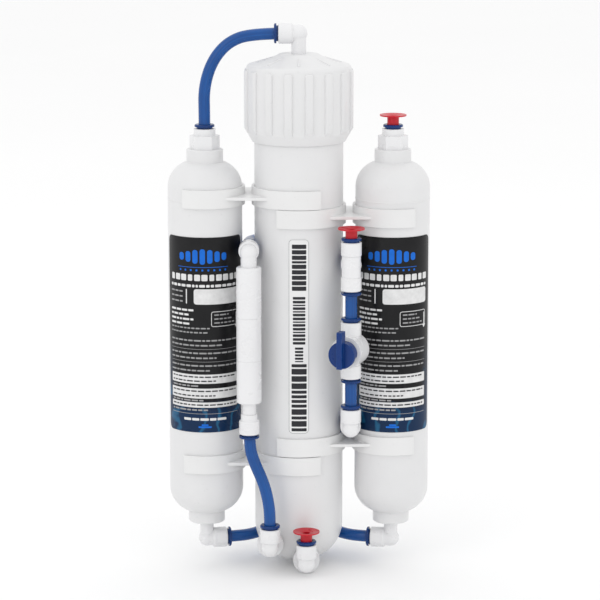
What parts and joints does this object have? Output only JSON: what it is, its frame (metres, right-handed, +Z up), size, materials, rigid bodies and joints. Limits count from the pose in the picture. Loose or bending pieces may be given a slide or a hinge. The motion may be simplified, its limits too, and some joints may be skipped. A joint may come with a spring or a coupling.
{
  "type": "reverse osmosis unit",
  "caption": "Compact aquarium reverse osmosis unit: a membrane housing with a screw cap clipped between a carbon and a fine inline filter, with push-in fittings, restrictor and flush valve.",
  "frame": {"origin": "on the membrane housing's axis, at the middle of the band between the clips that a wall clip grips", "axes": "+Z up along the housing towards the screw cap, -Y out of the front where the labels, restrictor and flush valve are, +X towards the fine filter"},
  "size_m": [0.176, 0.1066, 0.3696],
  "materials": {
    "white_housing": "white moulded plastic, semi-gloss",
    "white_filter": "white moulded plastic, semi-gloss",
    "white_clip": "white moulded plastic, satin",
    "white_fitting": "white acetal, satin",
    "blue_collet": "dark blue acetal, satin",
    "red_plug": "red moulded plastic, gloss",
    "blue_handle": "blue moulded plastic, gloss",
    "blue_tube": "blue polyethylene tube, semi-gloss",
    "printed_label": "printed film, satin",
    "housing_print": "clear printed film, satin",
    "seal_rubber": "black nitrile rubber",
    "valve_ball": "white acetal",
    "membrane_wrap": "taped wound membrane",
    "core_plastic": "white moulded plastic",
    "carbon_black": "activated carbon granules",
    "felt": "white felt",
    "wound_fibre": "melt-blown polypropylene fibre",
    "gasket": "soft rubber"
  },
  "bodies": {
    "frame": {"membrane_housing": "white_housing", "carbon_filter_shell": "white_filter", "fine_filter_shell": "white_filter", "carbon_filter_lid": "white_filter", "fine_filter_lid": "white_filter", "upper_left_clip": "white_clip", "upper_right_clip": "white_clip", "lower_left_clip": "white_clip", "lower_right_clip": "white_clip", "carbon_top_connector": "white_fitting", "feed_connector": "white_fitting", "carbon_bottom_elbow": "white_fitting", "fine_bottom_elbow": "white_fitting", "waste_elbow": "white_fitting", "permeate_elbow": "white_fitting", "flush_port_elbow": "white_fitting", "restrictor_top_elbow": "white_fitting", "restrictor_foot_connector": "white_fitting", "waste_tee": "white_fitting", "flush_elbow": "white_fitting", "flush_valve_body": "white_fitting", "restrictor_sleeve": "white_fitting", "restrictor_insert": "white_fitting", "inner_collets": "blue_collet", "waste_tube": "blue_tube", "link_tube": "blue_tube", "restrictor_tube": "blue_tube", "flush_tube": "blue_tube", "flush_line_tubes": "blue_tube", "carbon_label": "printed_label", "fine_label": "printed_label", "housing_label": "housing_print", "tube_seal_rings": "seal_rubber", "brine_seal": "seal_rubber", "core_o_rings": "seal_rubber", "membrane_element": "membrane_wrap", "membrane_core_tube": "core_plastic", "membrane_end_caps": "core_plastic", "carbon_granules": "carbon_black", "carbon_felt_pads": "felt", "sediment_core": "wound_fibre", "sediment_core_gaskets": "gasket"},
    "cap_lifter": {"cap_elbow": "white_fitting", "top_tube": "blue_tube", "cap_seals": "seal_rubber"},
    "cap": {"housing_cap": "white_housing"},
    "cap_elbow_collet": {"cap_elbow_collet": "blue_collet"},
    "carbon_top_collet": {"carbon_top_collet": "blue_collet"},
    "feed_collet": {"feed_collet": "blue_collet"},
    "carbon_bottom_collet": {"carbon_bottom_collet": "blue_collet"},
    "fine_bottom_collet": {"fine_bottom_collet": "blue_collet"},
    "waste_elbow_collet": {"waste_elbow_collet": "blue_collet"},
    "permeate_collet": {"permeate_collet": "blue_collet"},
    "restrictor_collet": {"restrictor_collet": "blue_collet"},
    "waste_outlet_collet": {"waste_outlet_collet": "blue_collet"},
    "feed_plug": {"feed_plug": "red_plug"},
    "permeate_plug": {"permeate_plug": "red_plug"},
    "waste_plug": {"waste_plug": "red_plug"},
    "valve_handle": {"valve_handle": "blue_handle", "valve_ball": "valve_ball"}
  },
  "joints": [
    {"name": "cap_rise", "type": "slide", "parent": "frame", "child": "cap_lifter", "axis": [0, 0, 1], "range_m": [0, 0.02]},
    {"name": "cap_turn", "type": "hinge", "parent": "cap_lifter", "child": "cap", "pos_m": [0, 0, 0.13], "axis": [0, 0, 1], "range_deg": [0, 1440]},
    {"name": "valve_turn", "type": "hinge", "parent": "frame", "child": "valve_handle", "pos_m": [0.0348, -0.033, -0.0275], "axis": [0.342, 0.9397, 0], "range_deg": [0, 90]},
    {"name": "feed_plug_pull", "type": "slide", "parent": "frame", "child": "feed_plug", "axis": [0, 0, 1], "range_m": [0, 0.025]},
    {"name": "permeate_plug_pull", "type": "slide", "parent": "frame", "child": "permeate_plug", "axis": [0, 0, 1], "range_m": [0, 0.025]},
    {"name": "waste_plug_pull", "type": "slide", "parent": "frame", "child": "waste_plug", "axis": [0, 0, 1], "range_m": [0, 0.025]},
    {"name": "cap_elbow_collet_press", "type": "slide", "parent": "cap_lifter", "child": "cap_elbow_collet", "axis": [1, 0, 0], "range_m": [0, 0.0012]},
    {"name": "carbon_top_collet_press", "type": "slide", "parent": "frame", "child": "carbon_top_collet", "axis": [0, 0, -1], "range_m": [0, 0.0012]},
    {"name": "feed_collet_press", "type": "slide", "parent": "frame", "child": "feed_collet", "axis": [0, 0, -1], "range_m": [0, 0.0012]},
    {"name": "waste_elbow_collet_press", "type": "slide", "parent": "frame", "child": "waste_elbow_collet", "axis": [0, 0, -1], "range_m": [0, 0.0012]},
    {"name": "permeate_collet_press", "type": "slide", "parent": "frame", "child": "permeate_collet", "axis": [0, 0, -1], "range_m": [0, 0.0012]},
    {"name": "waste_outlet_collet_press", "type": "slide", "parent": "frame", "child": "waste_outlet_collet", "axis": [0, 0, -1], "range_m": [0, 0.0012]},
    {"name": "restrictor_collet_press", "type": "slide", "parent": "frame", "child": "restrictor_collet", "axis": [0, 0, 1], "range_m": [0, 0.0012]},
    {"name": "carbon_bottom_collet_press", "type": "slide", "parent": "frame", "child": "carbon_bottom_collet", "axis": [-0.9848, -0.1736, 0], "range_m": [0, 0.0012]},
    {"name": "fine_bottom_collet_press", "type": "slide", "parent": "frame", "child": "fine_bottom_collet", "axis": [0.9848, -0.1736, 0], "range_m": [0, 0.0012]}
  ],
  "couplings": [
    {"joint": "cap_rise", "follows": "cap_turn", "m_per_rad": 0.00079577}
  ]
}
